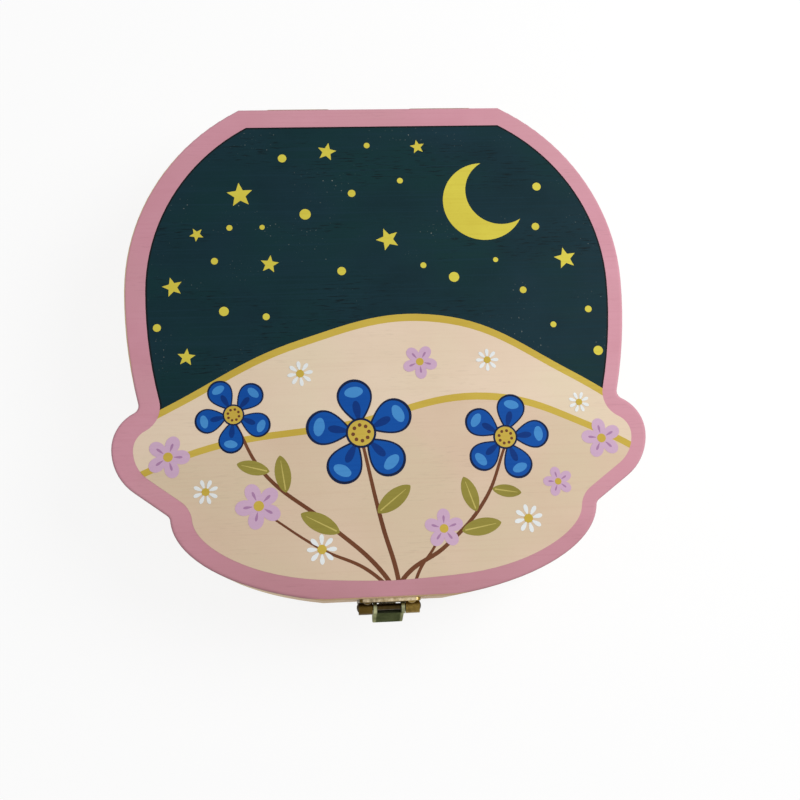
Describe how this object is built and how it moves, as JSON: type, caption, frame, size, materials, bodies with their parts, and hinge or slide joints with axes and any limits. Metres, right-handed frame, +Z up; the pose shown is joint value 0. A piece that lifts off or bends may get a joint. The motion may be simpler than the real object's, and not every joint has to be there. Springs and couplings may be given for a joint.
{
  "type": "baby tooth box",
  "caption": "Head-shaped wooden keepsake box with ears: printed lid on brass hinges, snap hasp at the chin, tray of wells for shed milk teeth and compartments for small keepsakes.",
  "frame": {"origin": "middle of the box's outline on its underside, half-way between the chin flat and the crown flat", "axes": "+X towards the right ear seen from above, +Y towards the crown and its hinges, +Z up through the lid; the hasp at the chin faces -Y"},
  "size_m": [0.12, 0.1229, 0.03],
  "materials": {
    "natural_wood": "sanded pale softwood with a thin clear coat",
    "printed_wood": "softwood with a satin printed top face and a pink border",
    "brass": "bright brass-plated sheet fittings and nails"
  },
  "bodies": {
    "base": {"bottom_board": "natural_wood", "tooth_tray": "natural_wood", "left_hinge_base_leaf": "brass", "right_hinge_base_leaf": "brass", "left_hinge_pin": "brass", "right_hinge_pin": "brass", "hinge_base_nails": "brass", "hasp_catch_plate": "brass", "hasp_catch_nails": "brass"},
    "lid": {"lid_board": "printed_wood", "left_hinge_lid_leaf": "brass", "right_hinge_lid_leaf": "brass", "hinge_lid_nails": "brass", "hasp_lid_plate": "brass", "hasp_pin": "brass", "hasp_lid_nails": "brass"},
    "tongue": {"hasp_tongue": "brass"}
  },
  "joints": [
    {"name": "lid_hinge", "type": "hinge", "parent": "base", "child": "lid", "pos_m": [0, 0.059, 0.021], "axis": [-1, 0, 0], "range_deg": [0, 180]},
    {"name": "tongue_hinge", "type": "hinge", "parent": "lid", "child": "tongue", "pos_m": [0, -0.0593, 0.0228], "axis": [-1, 0, 0], "range_deg": [-17, 90]}
  ]
}
